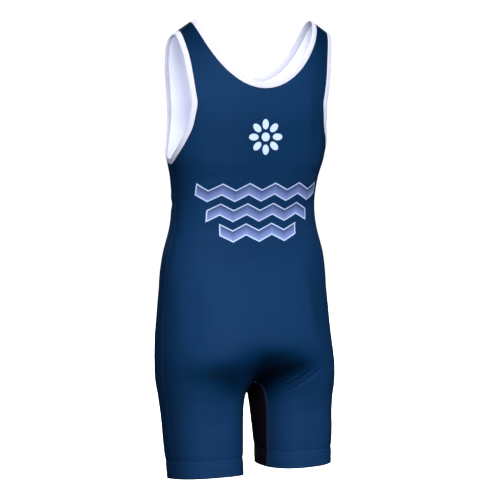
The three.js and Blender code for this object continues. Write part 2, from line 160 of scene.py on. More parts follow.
LEAN = table(
    "z x",
    [(0, -2.2), (-60, -1.8), (-150, -0.4), (-240, 0), (-430, 0), (-540, -1), (-650, -1)],
)

# Mesh counts
ACROSS, GUSSET_ACROSS = 72, 36
LEG_ROWS, SEAT_ROWS, WAIST_ROWS = 62, 36, 76
CENTRE_ROWS, NECK_ROWS, SEAM_ROWS = 46, 66, 8
ARMHOLE_ROWS = CENTRE_ROWS + NECK_ROWS - SEAM_ROWS
LEG_SPACING = 1.2
EDGE_SAMPLES = 240

# Steps of each search by halving, and the short step over which a slope is taken
HALVINGS = 36
STEP = 0.25


def mix(a, b, t):
    return a + (b - a) * t


def smoothstep(x, low, high):
    t = np.clip((x - low) / (high - low), 0, 1)
    return t * t * (3 - 2 * t)


def unit(v):
    return v / np.maximum(np.linalg.norm(v, axis=-1, keepdims=True), 1e-9)


def dot(a, b):
    return (a * b).sum(-1, keepdims=True)


def lengths_along(points):
    steps = np.linalg.norm(np.diff(points, axis=0), axis=-1)
    return np.concatenate([np.zeros_like(steps[:1]), np.cumsum(steps, axis=0)])


def hermite(a, b, slope_a, slope_b, t):
    t2, t3 = t * t, t * t * t
    return (
        (2 * t3 - 3 * t2 + 1) * a + (t3 - 2 * t2 + t) * slope_a
        + (3 * t2 - 2 * t3) * b + (t3 - t2) * slope_b
    )


def along(rows, key, column, at):
    """One column of a table as a smooth curve of another, which leaves its first row level."""
    keys, values = rows[key], rows[column]
    at = np.asarray(at, float)
    sign = -1 if keys[0] > keys[1] else 1
    k = np.clip(np.searchsorted(sign * keys, sign * at, side="right") - 1, 0, len(keys) - 2)
    slope = np.zeros(len(keys))
    slope[1:-1] = (values[2:] - values[:-2]) / (keys[2:] - keys[:-2])
    slope[-1] = (values[-1] - values[-2]) / (keys[-1] - keys[-2])
    span = keys[k + 1] - keys[k]
    return hermite(
        values[k], values[k + 1], slope[k] * span, slope[k + 1] * span, (at - keys[k]) / span
    )


def ring_at(z):
    ring = {name: along(RINGS, "z", name, z) for name in RINGS if name != "z"}
    ring["fillet"] = np.maximum(ring["fillet"], 0)
    ring["legX"] = np.maximum(ring["legX"], 0)
    return ring


def filleted(x, fillet):
    """The valley between the legs is rounded by measuring x as if round a small cylinder."""
    return np.sign(x) * np.sqrt(np.maximum(x * x - fillet * fillet, 0))


def face(ring, towards_back):
    back = np.asarray(towards_back) >= 0
    return (
        np.where(back, ring["back"], ring["front"]),
        np.where(back, ring["backPower"], ring["frontPower"]),
    )


def ring_point(z, angle):
    ring = ring_at(z)
    across, deep = np.cos(angle), np.sin(angle)
    half_width = np.where(across >= 0, ring["outer"], ring["inner"])
    depth, power = face(ring, deep)
    total = (np.abs(across) / half_width) ** power + (np.abs(deep) / depth) ** power
    radius = total ** (-1 / power)
    x = filleted(ring["legX"] + radius * across, ring["fillet"])
    y = ring["centreY"] + radius * deep
    return np.stack(np.broadcast_arrays(x, y, z), -1).astype(float)


def shoulder_z(x):
    return -SHOULDER_SLOPE * np.maximum(x - SHOULDER_NECK_X, 0)


def yoke_point(angle, height):
    """Every line of the chest ring climbs to the shoulder seam above it."""
    foot = ring_point(YOKE_HEIGHT, angle)
    climb = np.clip((height - YOKE_HEIGHT) / YOKE_ARC, 0, 1)
    rise = np.sin(climb * math.pi / 2)
    power = np.where(np.asarray(angle) >= 0, BACK_RISE, FRONT_RISE)
    depth = (1 - rise**power) ** YOKE_FALL
    z = mix(YOKE_HEIGHT, shoulder_z(foot[..., 0]), rise)
    return np.stack([foot[..., 0], foot[..., 1] * depth, z], -1)


def hem_shift(leg, x, y, z):
    ring = ring_at(HEM_HEIGHT)
    slope = leg["lift"] * (y - ring["centreY"]) - leg["tilt"] * (x - ring["legX"])
    return (slope - leg["drop"]) * smoothstep(-z, -CROTCH_HEIGHT, -HEM_HEIGHT)


def hem_relief(z):
    below = HEM_TOP - z
    drawn_in = GROOVE_DEPTH * np.exp(-((below / GROOVE_WIDTH) ** 2))
    return HEM_FLARE * smoothstep(below, 0, HEM_DEPTH) - drawn_in


def leant(point):
    point[..., 0] += along(LEAN, "z", "x", point[..., 2])
    return point


def skin_point(leg, angle, height):
    angle, height = np.broadcast_arrays(np.asarray(angle, float), np.asarray(height, float))
    on_yoke = (height > YOKE_HEIGHT)[..., None]
    low = ring_point(np.minimum(height, YOKE_HEIGHT), angle)
    point = np.where(on_yoke, yoke_point(angle, np.maximum(height, YOKE_HEIGHT)), low)
    point[..., 2] += hem_shift(leg, point[..., 0], point[..., 1], point[..., 2])
    point[..., 0] *= leg["side"]
    return point


def skin(leg, angle, height):
    """Points of the cloth's outer face before it is creased, and its normals there."""
    angle, height = np.broadcast_arrays(np.asarray(angle, float), np.asarray(height, float))
    high = np.minimum(height + STEP, YOKE_TOP - STEP)
    low = np.minimum(height - STEP, high - 2 * STEP)
    turn = STEP * DEGREE
    ahead = np.where(angle > 0, angle, angle + turn)
    around = skin_point(leg, ahead, height) - skin_point(leg, ahead - turn, height)
    up = skin_point(leg, angle, high) - skin_point(leg, angle, low)
    normal = unit(np.cross(around, up)) * leg["side"]
    point = skin_point(leg, angle, height) + normal * hem_relief(height)[..., None]
    return point, normal


def inner_angle(z, side):
    ring = ring_at(z)
    depth, power = face(ring, side)
    to_plane = ring["legX"] - ring["fillet"]
    share = np.maximum(1 - (np.maximum(to_plane, 0) / ring["inner"]) ** power, 0)
    plane_depth = depth * share ** (1 / power)
    seam_depth = np.abs(GUSSET_Y[side] - ring["centreY"])
    seam_share = np.maximum(1 - (seam_depth / depth) ** power, 0)
    at_seam = np.arctan2(seam_depth, -ring["inner"] * seam_share ** (1 / power))
    return np.where(plane_depth >= seam_depth, np.arctan2(plane_depth, -to_plane), at_seam)


def inner_leg_x(y, z):
    ring = ring_at(z)
    depth, power = face(ring, y - ring["centreY"])
    share = np.maximum(1 - (np.abs(y - ring["centreY"]) / depth) ** power, 0)
    return ring["legX"] - ring["inner"] * share ** (1 / power) - ring["fillet"]


def crotch_height(y):
    """The height at which the cloth at this y crosses the middle plane, under the crotch."""
    y = np.asarray(y, float)
    low, high = np.full(y.shape, float(HEM_HEIGHT)), np.full(y.shape, float(HIP_HEIGHT))
    for _ in range(HALVINGS):
        middle = (low + high) / 2
        apart = inner_leg_x(y, middle) > 0
        low, high = np.where(apart, middle, low), np.where(apart, high, middle)
    return (low + high) / 2


def side_seam_angle(height):
    top = -ARMHOLE["height"][ARMHOLE_BOTTOM_ROW]
    return mix(SIDE_SEAM_TOP, SIDE_SEAM_HEM, smoothstep(-height, top, -HEM_HEIGHT)) * DEGREE


def spread(angle, height, count):
    """Places spread evenly along a run of surface places, each an angle and a height."""
    lengths = lengths_along(skin_point(LEGS["left"], angle, height))
    at = np.linspace(0, lengths[-1], count + 1)
    return np.interp(at, lengths, angle), np.interp(at, lengths, height)


def height_on_yoke(x, z):
    rise = (z - YOKE_HEIGHT) / (shoulder_z(x) - YOKE_HEIGHT)
    return YOKE_HEIGHT + YOKE_ARC * np.arcsin(np.clip(rise, -1, 1)) / (math.pi / 2)


def angle_on_yoke(x, side):
    ring = ring_at(YOKE_HEIGHT)
    depth, power = face(ring, side)
    y = depth * (1 - (x / ring["outer"]) ** power) ** (1 / power)
    return np.arctan2(side * y, x)


def neck_places(side):
    half_width, depth, across, down = NECK[side]
    turn = np.linspace(0, math.pi / 2, EDGE_SAMPLES)
    x = half_width * np.sin(turn) ** (2 / across)
    z = -depth * np.maximum(np.cos(turn), 0) ** (2 / down)
    kept = np.cumsum(z >= shoulder_z(x)) == 0
    angle = np.append(angle_on_yoke(x[kept], side), angle_on_yoke(NECK_SHOULDER_X, side))
    height = np.append(height_on_yoke(x[kept], z[kept]), YOKE_TOP)
    return angle, height


def armhole_places(side):
    """From under the arm to the shoulder seam, smoothly through the rows of the table."""
    rows = len(ARMHOLE["angle"])
    last = 0 if side == BACK else rows - 1
    at = np.linspace(ARMHOLE_BOTTOM_ROW, last, EDGE_SAMPLES)
    k = np.clip(np.floor(at).astype(int), 0, rows - 2)
    t = at - k

    def curve(column):
        v = ARMHOLE[column]
        before, after = v[np.maximum(k - 1, 0)], v[np.minimum(k + 2, rows - 1)]
        return hermite(v[k], v[k + 1], (v[k + 1] - before) / 2, (after - v[k]) / 2, t)

    angle, height = curve("angle") * DEGREE, curve("height")
    angle[-1] = angle_on_yoke(ARMHOLE_SHOULDER_X, side)
    return angle, height


# --- Creases ---


def place_on(towards, x, z):
    """Surface points at this x and height, on the back or the front."""
    x, z = np.broadcast_arrays(np.asarray(x, float), np.asarray(z, float))
    low, high = np.zeros(x.shape), np.full(x.shape, math.pi)
    for _ in range(HALVINGS):
        middle = (low + high) / 2
        short = skin_point(LEGS["left"], towards * middle, z)[..., 0] > np.abs(x)
        low, high = np.where(short, middle, low), np.where(short, high, middle)
    angle = towards * (low + high) / 2
    left, right = (skin(leg, angle, z) for leg in LEGS.values())
    return [np.where((x >= 0)[..., None], a, b) for a, b in zip(left, right)]


# Each crease: face, x and height of both ends, how far its middle bows up, half width,
# depth, and how much of a ridge it pushes up beside it
CREASES = [
    # the hollow under the seat, its two arms, and the fine creases beside it
    (BACK, 2, -462, -6, -514, 0, 16, 2.4, 0.0),
    (BACK, 92, -482, 16, -491, 2, 12, 1.5, 0.2),
    (BACK, -10, -490, -96, -476, 0, 11, 1.6, 0.2),
    (BACK, -36, -513, -78, -483, 1, 5, 0.9, 0.6),
    (BACK, 40, -518, 60, -500, 1, 2.6, 0.5, 0.6),
    # the hollow down the spine, and the soft bands beside the back and the seat
    (BACK, 0, -100, 2, -250, 0, 30, 2.2, 0.2),
    (BACK, -86, -70, -80, -205, 0, 9, 1.7, 0.3),
    (BACK, -79, -318, -84, -450, 0, 10, 2.0, 0.3),
    (BACK, 92, -330, 100, -455, 0, 14, 1.2, 0.2),
    # the waist
    (BACK, 84, -256, 22, -262, -3, 8, 0.8, 0.4),
    (BACK, -28, -266, -98, -254, -3, 7, 0.9, 0.4),
    (BACK, 112, -303, 52, -292, 3, 8, 0.7, 0.4),
    (BACK, 96, -232, 60, -214, 2, 6, 0.9, 0.5),
    (BACK, -100, -226, -66, -206, 2, 5, 0.8, 0.5),
    (FRONT, 108, -262, 66, -256, 3, 6, 1.4, 0.5),
    (FRONT, -112, -266, -58, -258, 4, 7, 1.3, 0.5),
    (FRONT, 62, -284, -36, -290, -6, 10, 1.4, 0.4),
    (FRONT, 18, -312, -72, -303, -5, 9, 1.0, 0.4),
    # under the arms, at the front
    (FRONT, 98, -226, 56, -186, 3, 6, 1.6, 0.5),
    (FRONT, -102, -230, -64, -196, 3, 6, 1.3, 0.5),
    (FRONT, 88, -236, 44, -214, 2, 5, 0.8, 0.5),
    # across the front of the hips, running down to the inner legs
    (FRONT, 22, -486, 96, -446, -4, 8, 2.2, 0.4),
    (FRONT, -18, -490, -86, -440, -5, 9, 2.0, 0.4),
    (FRONT, 30, -502, 78, -474, -2, 5, 1.3, 0.5),
    (FRONT, -26, -508, -94, -478, -3, 6, 1.5, 0.5),
    (FRONT, 34, -520, 62, -504, 0, 3.5, 0.9, 0.6),
    (FRONT, -34, -524, -70, -508, 0, 4, 0.8, 0.6),
    (FRONT, 2, -438, -4, -504, 0, 16, 2.4, 0.1),
    # the thighs
    (BACK, 96, -556, 52, -566, 3, 10, 0.8, 0.3),
    (BACK, -48, -552, -100, -542, 2, 9, 0.7, 0.3),
    (FRONT, 100, -552, 50, -570, 3, 9, 1.0, 0.3),
    (FRONT, -52, -566, -98, -548, 3, 9, 1.0, 0.3),
]
CREASE_SAMPLES = 28
CREASE_BOW = 4
CREASE_REACH = 4
CREASE_FADE = 0.8

# The ridge beside a crease: how far off in half widths, how broad, and its mean height
RIDGE_PLACE, RIDGE_SPREAD, RIDGE_MEAN = 1.7, 0.5, 0.75

# Broad soft forms of the worn cloth: face, x and height of the middle, half width, half
# height, and how far it stands out
FORMS = [
    (BACK, 46, -418, 42, 40, 2.6),
    (BACK, -46, -418, 42, 40, 2.6),
    (BACK, -4, -492, 54, 21, -4.6),
    (FRONT, 0, -492, 40, 18, -2.5),
]
FORM_TURN = 0.6

# The cloth is never quite even: low waves over its whole surface, in radians a millimetre
WAVES = np.array([
    (0.031, 0.012, 0.044), (-0.042, 0.027, 0.025), (0.018, -0.049, 0.063), (0.07, 0.04, -0.021),
])
WAVE_PHASES = np.array([0.3, 1.9, 4.1, 2.7])
WAVE_HEIGHT = 0.14


def crease_lines():
    lines = []
    for towards, x0, z0, x1, z1, bow, width, depth, ridge in CREASES:
        t = np.linspace(0, 1, CREASE_SAMPLES)
        x, z = mix(x0, x1, t), mix(z0, z1, t) + bow * CREASE_BOW * t * (1 - t)
        points, normals = place_on(towards, x, z)
        lines.append((points, normals, width, depth, ridge))
    return lines


LINES = crease_lines()


def creased(points, normals):
    """Moves points of the cloth in and out along its normals, by the creases near them."""
    p, n = points.reshape(-1, 3), normals.reshape(-1, 3)
    move = np.zeros(len(p))
    for line, line_normals, width, depth, ridge in LINES:
        reach = CREASE_REACH * width
        low, high = line.min(0) - reach, line.max(0) + reach
        near = np.flatnonzero(((p > low) & (p < high)).all(1))
        if not len(near):
            continue
        a, b = line[:-1], line[1:]
        run = b - a
        offset = p[near, None] - a
        t = np.clip((offset * run).sum(-1) / (run * run).sum(-1), 0, 1)
        away = offset - t[..., None] * run
        distance = np.linalg.norm(away, axis=-1)
        best = distance.argmin(1)
        pick = np.arange(len(near))
        distance = distance[pick, best]
        share = (best + t[pick, best]) / len(run)
        across = np.cross(run[best], line_normals[best])
        side = np.sign((away[pick, best] * across).sum(-1))
        agree = np.clip((n[near] * line_normals[best]).sum(-1), 0, 1)
        strength = np.sin(np.clip(share, 0, 1) * math.pi) ** CREASE_FADE
        q = distance / width
        trough = -depth * np.exp(-q * q)
        crest = ridge * depth * np.exp(-((q - RIDGE_PLACE) ** 2) / RIDGE_SPREAD)
        crest *= RIDGE_MEAN + (1 - RIDGE_MEAN) * side
        move[near] += (trough + crest) * strength * agree
    for towards, x, z, half_width, half_height, stand in FORMS:
        q = ((p[:, 0] - x) / half_width) ** 2 + ((p[:, 2] - z) / half_height) ** 2
        move += stand * np.exp(-q) * smoothstep(towards * n[:, 1], 0, FORM_TURN)
    move += WAVE_HEIGHT * np.sin(p @ WAVES.T + WAVE_PHASES).sum(1)
    return points + normals * move.reshape(points.shape[:-1])[..., None]


# --- Meshes ---


def panel_rows(side):
    """For each mesh row, from the hem up, its place on the side edge and on the inner edge."""
    arch_top = float(crotch_height(GUSSET_Y[side]))
    leg = mix(arch_top, HEM_HEIGHT, np.linspace(1, 0, LEG_ROWS + 1) ** LEG_SPACING)
    seat = np.linspace(arch_top, HIP_HEIGHT, SEAT_ROWS + 1)[1:]
    waist = np.linspace(HIP_HEIGHT, CHEST_HEIGHT, WAIST_ROWS + 1)[1:]
    level = np.concatenate([leg, seat, waist])
    outer = [np.stack([side_seam_angle(level), level], -1)]
    inner = [np.stack([side * inner_angle(level, side), level], -1)]
    neck = np.stack(neck_places(side), -1)
    armhole = np.stack(armhole_places(side), -1)
    middle = np.array([side * math.pi / 2, CHEST_HEIGHT])
    chest_side = np.array([side_seam_angle(CHEST_HEIGHT), CHEST_HEIGHT])
    inner.append(np.linspace(middle, neck[0], CENTRE_ROWS + 1)[1:])
    inner.append(np.stack(spread(neck[:, 0], neck[:, 1], NECK_ROWS), -1)[1:])
    outer.append(np.linspace(chest_side, armhole[0], SEAM_ROWS + 1)[1:])
    outer.append(np.stack(spread(armhole[:, 0], armhole[:, 1], ARMHOLE_ROWS), -1)[1:])
    return np.concatenate(outer), np.concatenate(inner)


ARC_ANGLES = 181
ARC_BELOW, ARC_STEP = 8, 3.0
ARC_HEIGHTS = np.arange(HEM_HEIGHT - ARC_BELOW, YOKE_TOP, ARC_STEP)
INSIDE_TABLE = 1.001


def arc_table(side):
    """How far round the cloth each angle lies from the middle of the back or the front."""
    angle = np.linspace(0, math.pi, ARC_ANGLES)[:, None] * side
    length = lengths_along(skin_point(LEGS["left"], angle, ARC_HEIGHTS[None, :]))
    return length[ARC_ANGLES // 2] - length


def arc_length(arcs, angle, height):
    a = np.abs(angle) / math.pi * (ARC_ANGLES - 1)
    a = np.clip(a, 0, ARC_ANGLES - INSIDE_TABLE)
    h = np.clip((height - ARC_HEIGHTS[0]) / ARC_STEP, 0, len(ARC_HEIGHTS) - INSIDE_TABLE)
    i, j = a.astype(int), h.astype(int)
    low = mix(arcs[i, j], arcs[i + 1, j], a - i)
    high = mix(arcs[i, j + 1], arcs[i + 1, j + 1], a - i)
    return mix(low, high, h - j)


def pull_back(point, normal, edge, beside, distance):
    """Moves an edge of a piece back from its seam, within the cloth."""
    away = point[edge] - point[beside]
    away = away - normal[edge] * dot(away, normal[edge])
    point[edge] -= unit(away) * distance


def panel_grid(leg, side):
    """Points, normals, and places across and along the cloth, for half a panel."""
    outer, inner = panel_rows(side)
    t = np.linspace(0, 1, ACROSS + 1)[None, :]
    angle = mix(outer[:, :1], inner[:, :1], t)
    height = mix(outer[:, 1:], inner[:, 1:], t)
    point, normal = skin(leg, angle, height)
    seam = LEG_ROWS + SEAT_ROWS + WAIST_ROWS + SEAM_ROWS + 1
    gap = PANEL_GAP / 2
    pull_back(point, normal, np.s_[:seam, 0], np.s_[:seam, 1], gap)
    pull_back(point, normal, np.s_[:LEG_ROWS + 1, -1], np.s_[:LEG_ROWS + 1, -2], gap)
    pull_back(point, normal, -1, -2, gap)
    middle = slice(LEG_ROWS + 1, len(point) - NECK_ROWS)
    point[middle, -1, 0] = 0
    normal[middle, -1, 0] = 0
    across = arc_length(arc_table(side), angle, height) * leg["side"]
    return point, unit(normal), across, height


# The gusset's ends stand back further from the panels at the crotch, over its first rows
CROTCH_EASE = 0.45
CROTCH_EASE_ROWS = 8


def gusset_grid(leg):
    """The same for half the gusset."""
    y = np.linspace(GUSSET_Y[-1], GUSSET_Y[1], GUSSET_ACROSS + 1)[None, :]
    top = crotch_height(y)
    share = np.linspace(0, 1, LEG_ROWS + 1)[:, None] ** LEG_SPACING
    z = mix(top, HEM_HEIGHT, share)
    y = np.broadcast_to(y, z.shape)

    def at(yy, zz):
        fillet = ring_at(zz)["fillet"]
        x = filleted(np.maximum(inner_leg_x(yy, zz), 0) + fillet, fillet)
        return np.stack(np.broadcast_arrays(x, yy, zz), -1).astype(float)

    point = at(y, z)
    on_crotch = point[..., :1] < STEP
    rise = crotch_height(y + STEP) - crotch_height(y - STEP)
    level = np.stack([np.zeros_like(rise), np.full_like(rise, 2 * STEP), rise], -1)
    deep = np.where(on_crotch, level, at(y + STEP, z) - at(y - STEP, z))
    up = np.where(on_crotch, (-1.0, 0.0, 0.0), point - at(y, z - 2 * STEP))
    normal = unit(np.cross(up, deep))
    point[..., 2] += hem_shift(leg, point[..., 0], y, z)
    point[..., 0] *= leg["side"]
    normal[..., 0] *= leg["side"]
    point += normal * hem_relief(z)[..., None]
    ease = np.maximum(1 - np.arange(LEG_ROWS + 1) / CROTCH_EASE_ROWS, 0)[:, None]
    gap = PANEL_GAP / 2 + CROTCH_EASE * ease
    for edge, beside in ((0, 1), (-1, -2)):
        pull_back(point, normal, np.s_[:, edge], np.s_[:, beside], gap)
    point[0, :, 0] = 0
    normal[0, :, 0] = 0
    return point, unit(normal), point[..., 1], z


class Builder:
    """Gathers grids of points into one mesh, with a material for each face."""

    def __init__(self):
        self.points, self.faces, self.looks, self.uvs = [], [], [], []
        self.count = 0

    def add(self, points, faces, looks, uvs=None):
        uvs = np.zeros((*points.shape[:-1], 2)) if uvs is None else uvs
        points = points.reshape(-1, 3)
        self.points.append(points)
        self.uvs.append(np.asarray(uvs, float).reshape(-1, 2))
        self.add_faces(faces + self.count, looks)
        self.count += len(points)

    def add_faces(self, faces, looks):
        self.faces.append(faces)
        self.looks.append(np.broadcast_to(looks, len(faces)))

    def make(self, name, materials, weld=0.0):
        """Faces that welding narrows keep three corners, or are left out."""
        points, faces, looks, uvs = map(
            np.concatenate, (self.points, self.faces, self.looks, self.uvs)
        )
        if weld:
            key = np.round(points / weld).astype(np.int64)
            _, first, index = np.unique(key, axis=0, return_index=True, return_inverse=True)
            faces = first[index.reshape(-1)][faces]
        kept = [len(set(face)) > 2 for face in faces.tolist()]
        used, faces = np.unique(faces[kept], return_inverse=True)
        corners = [list(dict.fromkeys(face)) for face in faces.reshape(-1, 4).tolist()]
        mesh = bpy.data.meshes.new(name)
        mesh.from_pydata((points[used] * MM).tolist(), [], corners)
        for material in materials:
            mesh.materials.append(material)
        mesh.polygons.foreach_set("material_index", looks[kept].astype(np.int32))
        mesh.polygons.foreach_set("use_smooth", np.ones(len(corners), bool))
        layer = mesh.uv_layers.new(name="cloth")
        loops = np.empty(len(mesh.loops), np.int32)
        mesh.loops.foreach_get("vertex_index", loops)
        layer.data.foreach_set("uv", uvs[used][loops].ravel())
        mesh.update()
        mesh.validate()
        piece = bpy.data.objects.new(name, mesh)
        bpy.context.collection.objects.link(piece)
        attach(piece, "root")
        return piece


def grid_faces(rows, columns, flip, closed=False):
    index = np.arange(rows * columns).reshape(rows, columns)
    after = np.roll(index, -1, 1) if closed else index[:, 1:]
    here = index if closed else index[:, :-1]
    faces = np.stack([here[:-1], after[:-1], after[1:], here[1:]], -1).reshape(-1, 4)
    return faces[:, ::-1] if flip else faces


def facing_flip(point, normal):
    row, column = point.shape[0] // 2, point.shape[1] // 2
    a, b, d = point[row, column], point[row, column + 1], point[row + 1, column]
    return float(np.dot(np.cross(b - a, d - a), normal[row, column])) < 0


def add_shell(builder, point, normal, thickness, uvs, inside_look, open_edges):
    """A sheet with its inner face and the band round its raw edges."""
    outer = creased(point, normal)
    inner = outer - normal * thickness[..., None]
    rows, columns = outer.shape[:2]
    flip = facing_flip(point, normal)
    faces = grid_faces(rows, columns, flip)
    base, total = builder.count, rows * columns
    builder.add(leant(outer), faces, 0, uvs)
    builder.add(leant(inner), faces[:, ::-1], inside_look, uvs)
    for run in open_edges(base + np.arange(total).reshape(rows, columns)):
        band = np.stack([run[:-1], run[1:], run[1:] + total, run[:-1] + total], -1)
        builder.add_faces(band if flip else band[:, ::-1], 0)


WELD = 0.01


def panel_edges(index):
    inner_low, inner_high = index[:LEG_ROWS + 1, -1], index[-NECK_ROWS - 1:, -1]
    return index[0], index[::-1, 0], index[-1, ::-1], inner_low, inner_high


def gusset_edges(index):
    return index[:, 0], index[-1], index[::-1, -1]


def cloth(name, grid, edges, materials):
    """A cut piece in its two halves. Its first material is also on the turned-up hem."""
    builder = Builder()
    for leg in LEGS.values():
        point, normal, across, height = grid(leg)
        in_hem = height < HEM_TOP
        inside = np.where(in_hem[:-1, :-1].reshape(-1), 0, len(materials) - 1)
        uvs = np.stack([across, height], -1)
        add_shell(builder, point, normal, WALL + HEM_EXTRA * in_hem, uvs, inside, edges)
    return builder.make(name, materials, WELD)


def edge_loop(runs):
    """Joins runs of the skin into a closed loop. Each is a leg, its places and its order."""
    ends = []
    for leg, places, order in runs:
        point, normal = skin(leg, *places)
        ends.append((point[::order][:-1], normal[::order][:-1]))
    return [np.concatenate(values) for values in zip(*ends)]


def neck_edge():
    left, right = LEGS.values()
    back, front = (spread(*neck_places(side), NECK_ROWS) for side in (BACK, FRONT))
    return edge_loop([(left, back, 1), (left, front, -1), (right, front, 1), (right, back, -1)])


def armhole_edge(leg):
    back, front = (spread(*armhole_places(side), ARMHOLE_ROWS) for side in (BACK, FRONT))
    return edge_loop([(leg, back, 1), (leg, front, -1)])


SECTION = 20
SECTION_POWER = 3.2


def binding_section():
    turn = np.linspace(0, 2 * math.pi, SECTION, endpoint=False)
    return [np.sign(v) * np.abs(v) ** (2 / SECTION_POWER) for v in (np.cos(turn), np.sin(turn))]


def binding_frame(point, normal, hand):
    run = unit(np.roll(point, -1, 0) - np.roll(point, 1, 0))
    return unit(np.cross(run, normal)) * hand


def binding(name, edge, hand, material):
    point, normal = edge
    out = binding_frame(point, normal, hand)
    across, height = binding_section()
    middle = (BINDING_PROUD - BINDING_UNDER) / 2
    half = (BINDING_PROUD + BINDING_UNDER) / 2
    a = SEAM_GAP / 2 + BINDING_WIDTH * (across + 1) / 2
    h = middle + half * height
    ring = out[:, None] * a[:, None] + normal[:, None] * h[:, None]
    ring = leant(creased(point, normal)[:, None] + ring)
    ring = np.concatenate([ring, ring[:1]])
    u = lengths_along(np.concatenate([point, point[:1]]))
    uvs = np.stack(np.broadcast_arrays(u[:, None], a), -1)
    first = ring[0]
    loop = np.cross(first[1] - first[0], ring[1, 0] - first[0])
    flip = float(np.dot(loop, first[0] - first.mean(0))) < 0
    builder = Builder()
    builder.add(ring, grid_faces(len(ring), SECTION, flip, closed=True), 0, uvs)
    return builder.make(name, [material], WELD)


# --- Sewing ---

THREAD = 0.42
THREAD_SIDES, THREAD_RINGS = 5, 6
THREAD_END, THREAD_TAPER = 0.35, 0.5
STITCH_LENGTH, STITCH_GAP = 2.5, 0.7
STITCH_LIFT, STITCH_SINK, STITCH_HUMP = 0.22, 0.12, 0.6

# The threads that cross between two rows, and how thin they are beside those of the rows
CROSSING_PITCH, CROSSING_LENGTH, CROSSING_SHARE = 3.2, 1.6, 0.8
TAPE_CROSSING, TAPE_CROSSING_LIFT = 0.34, 0.2

SEAM_HALF = 1.7
SEAM_LIFT = 0.2
SIDE_THREAD, SIDE_LIFT = 0.3, 0.12
# The shoulder thread is thick and black: a real seam, and partly painted shade along the strap's
# top
SHOULDER_THREAD, SHOULDER_LIFT = 1.0, 0.5
HEM_ROWS = (1.5, 8.0)
HEM_SAMPLES = 180
TAPE_ROWS = (2.0, 6.4)
# A dark thread where a binding meets the cloth, a painted shadow: its place, radius and sides
SHADOW_LINE_PLACE, SHADOW_LINE_RADIUS, SHADOW_LINE_SIDES = -0.1, 0.42, 6

# Where the sewn seams start above the hem and stop below the armhole
SEAM_START, SEAM_STOP = 1.5, 3
SIDE_SEAM_SAMPLES, GUSSET_SEAM_SAMPLES, SHOULDER_SAMPLES = 160, 110, 12
GUSSET_SEAM_SPACING = 0.6
SHOULDER_INSET = 0.4


def thread_rings(centre, aside, up, radius, sides):
    turn = np.linspace(0, 2 * math.pi, sides, endpoint=False)[:, None]
    return centre[..., None, :] + radius * (
        np.cos(turn) * aside[..., None, :] + np.sin(turn) * up[..., None, :]
    )


def resampled(values, lengths, at):
    return np.stack([np.interp(at, lengths, values[:, k]) for k in range(3)], -1)


def add_stitches(builder, path, normals, closed, across_at, across_to=None, pitch=None,
                 length=STITCH_LENGTH, lift=STITCH_LIFT, thread=THREAD):
    """A row of stitches along a path, each a short thread that humps over the cloth. It
    lies across_at to the side of the path, and ends across_to if it crosses the path."""
    if closed:
        path, normals = np.concatenate([path, path[:1]]), np.concatenate([normals, normals[:1]])
    run = np.gradient(path, axis=0)
    if closed:
        run[0] = run[-1] = path[1] - path[-2]
    out = unit(np.cross(unit(run), normals))
    lengths = lengths_along(path)
    pitch = pitch or length + STITCH_GAP
    count = max(int(lengths[-1] // pitch), 1)
    pitch = lengths[-1] / count
    across_to = across_at if across_to is None else across_to
    t = np.linspace(0, 1, THREAD_RINGS)
    at = (np.arange(count)[:, None] + 0.5) * pitch + (t - 0.5) * length
    at = np.clip(at, 0, lengths[-1])
    up = unit(resampled(normals, lengths, at))
    aside = unit(resampled(out, lengths, at))
    height = lift * np.sin(t * math.pi) ** STITCH_HUMP - STITCH_SINK
    centre = resampled(path, lengths, at) + up * height[:, None]
    centre = centre + aside * mix(across_at, across_to, t)[:, None]
    forward = unit(np.gradient(centre, axis=1))
    sideways = unit(np.cross(forward, up))
    up = np.cross(sideways, forward)
    size = mix(THREAD_END, 1, np.sin(t * math.pi) ** THREAD_TAPER)[:, None, None] * thread / 2
    ring = thread_rings(centre, sideways, up, size, THREAD_SIDES)
    last = (THREAD_RINGS - 1) * THREAD_SIDES
    ends = [[0, k, k + 1, k + 1] for k in range(1, THREAD_SIDES - 1)]
    ends += [[last, last + k + 1, last + k, last + k] for k in range(1, THREAD_SIDES - 1)]
    one = np.concatenate([grid_faces(THREAD_RINGS, THREAD_SIDES, False, closed=True), ends])
    faces = one + (np.arange(count) * THREAD_RINGS * THREAD_SIDES)[:, None, None]
    round_it = np.arange(THREAD_SIDES) / THREAD_SIDES
    uvs = np.stack(np.broadcast_arrays(at[:, :, None], round_it), -1)
    builder.add(leant(ring), faces.reshape(-1, 4), 0, uvs)


def add_crossings(builder, path, normals, closed, half, lift, thread):
    """The threads that cross between two rows of stitches, both ways."""
    for start, end in ((-half, half), (half, -half)):
        add_stitches(builder, path, normals, closed, start, end, CROSSING_PITCH,
                     CROSSING_LENGTH, lift, thread)


def add_shadow_line(builder, path, normals, look):
    """A closed round thread that follows a path, a painted shadow line."""
    run = unit(np.roll(path, -1, 0) - np.roll(path, 1, 0))
    aside = unit(np.cross(run, normals))
    ring = thread_rings(path, aside, np.cross(aside, run), SHADOW_LINE_RADIUS, SHADOW_LINE_SIDES)
    ring = np.concatenate([ring, ring[:1]])
    builder.add(leant(ring), grid_faces(len(ring), SHADOW_LINE_SIDES, False, closed=True), look)


def hem_loop(leg, height):
    """A closed loop round a leg at one height."""
    angle = np.linspace(-math.pi, math.pi, HEM_SAMPLES, endpoint=False)
    point, normal = skin(leg, angle, height)
    return creased(point, normal), normal


def side_seam_path(leg):
    top = ARMHOLE["height"][ARMHOLE_BOTTOM_ROW] - SEAM_STOP
    height = np.linspace(HEM_HEIGHT + SEAM_START, top, SIDE_SEAM_SAMPLES)
    point, normal = skin(leg, side_seam_angle(height), height)
    return creased(point, normal), normal


